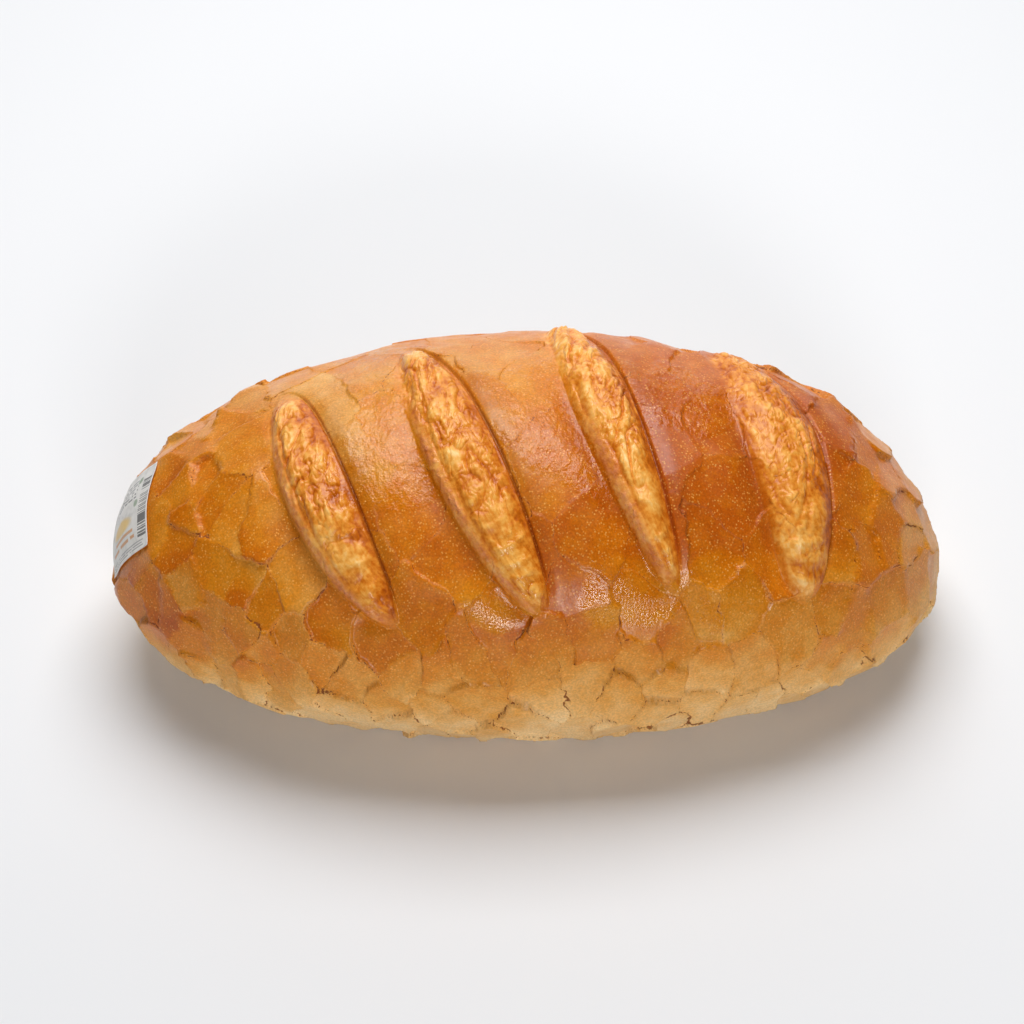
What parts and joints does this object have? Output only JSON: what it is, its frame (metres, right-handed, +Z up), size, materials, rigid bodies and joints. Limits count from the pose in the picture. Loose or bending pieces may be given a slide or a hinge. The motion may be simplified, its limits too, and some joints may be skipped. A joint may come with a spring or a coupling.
{
  "type": "scored oval loaf",
  "caption": "Oval hearth loaf with slanting scores across its crown, a crackled plate crust, a flat base and a paper label baked onto one end.",
  "frame": {"origin": "middle of the flat base the loaf rests on", "axes": "+X along the loaf, away from the labelled end, +Z up, -Y to the front, where the scores run lowest"},
  "size_m": [0.282, 0.1522, 0.1047],
  "materials": {
    "crust": "baked crust, satin, golden brown above and pale yellow at the foot",
    "label_paper": "matt paper with a printed bar strip and coloured fields"
  },
  "bodies": {
    "root": {"loaf": "crust", "label": "label_paper"}
  },
  "joints": []
}
